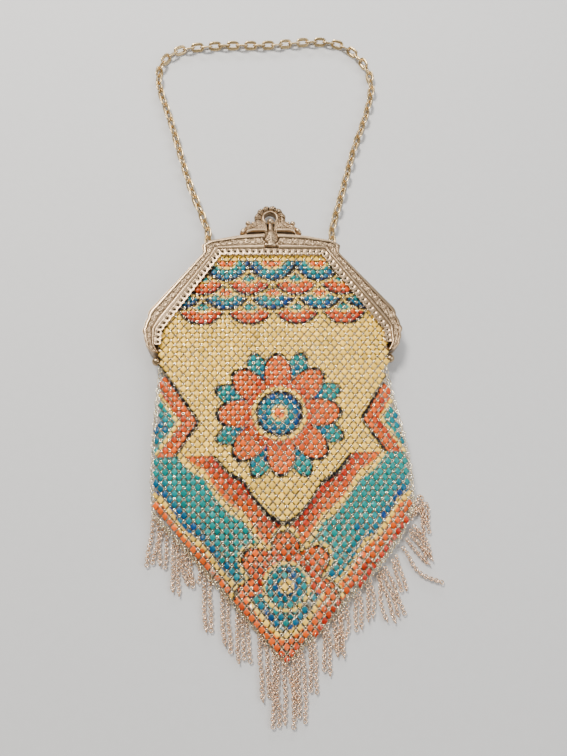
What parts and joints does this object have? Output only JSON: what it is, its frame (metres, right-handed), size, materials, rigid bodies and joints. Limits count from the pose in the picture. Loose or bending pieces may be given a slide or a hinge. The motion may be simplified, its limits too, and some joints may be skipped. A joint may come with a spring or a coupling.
{
  "type": "metal mesh purse",
  "caption": "Evening purse of enamelled metal mesh on a cast arched frame with a snap clasp, chain handle and chain fringe.",
  "frame": {"origin": "flat tablet on the back of the frame's bar, which rests on the surface, in the middle of the bar", "axes": "+X across the frame to the right in the front view, +Y from the fringe towards the chain, +Z off the surface that the purse lies on"},
  "size_m": [0.1182, 0.3256, 0.0109],
  "materials": {
    "frame": "cast, silvered, darkened in the sunken relief",
    "clasp": "polished by use",
    "mesh": "enamelled plates, worn at their edges, on silvered rings",
    "fringe": "silvered wire with a warm tarnish",
    "chain": "silvered wire with a pale brass tone"
  },
  "bodies": {
    "purse": {"frame_front": "frame", "frame_back": "frame", "hinge_left": "clasp", "hinge_right": "clasp", "clasp_pin": "clasp", "mesh_body": "mesh", "fringe_left": "fringe", "fringe_right": "fringe", "handle_chain": "chain"},
    "clasp": {"clasp_tongue": "clasp"}
  },
  "joints": [
    {"name": "clasp_hinge", "type": "hinge", "parent": "purse", "child": "clasp", "pos_m": [0, -0.0012, 0.0098], "axis": [1, 0, 0], "range_deg": [0, 65]}
  ]
}
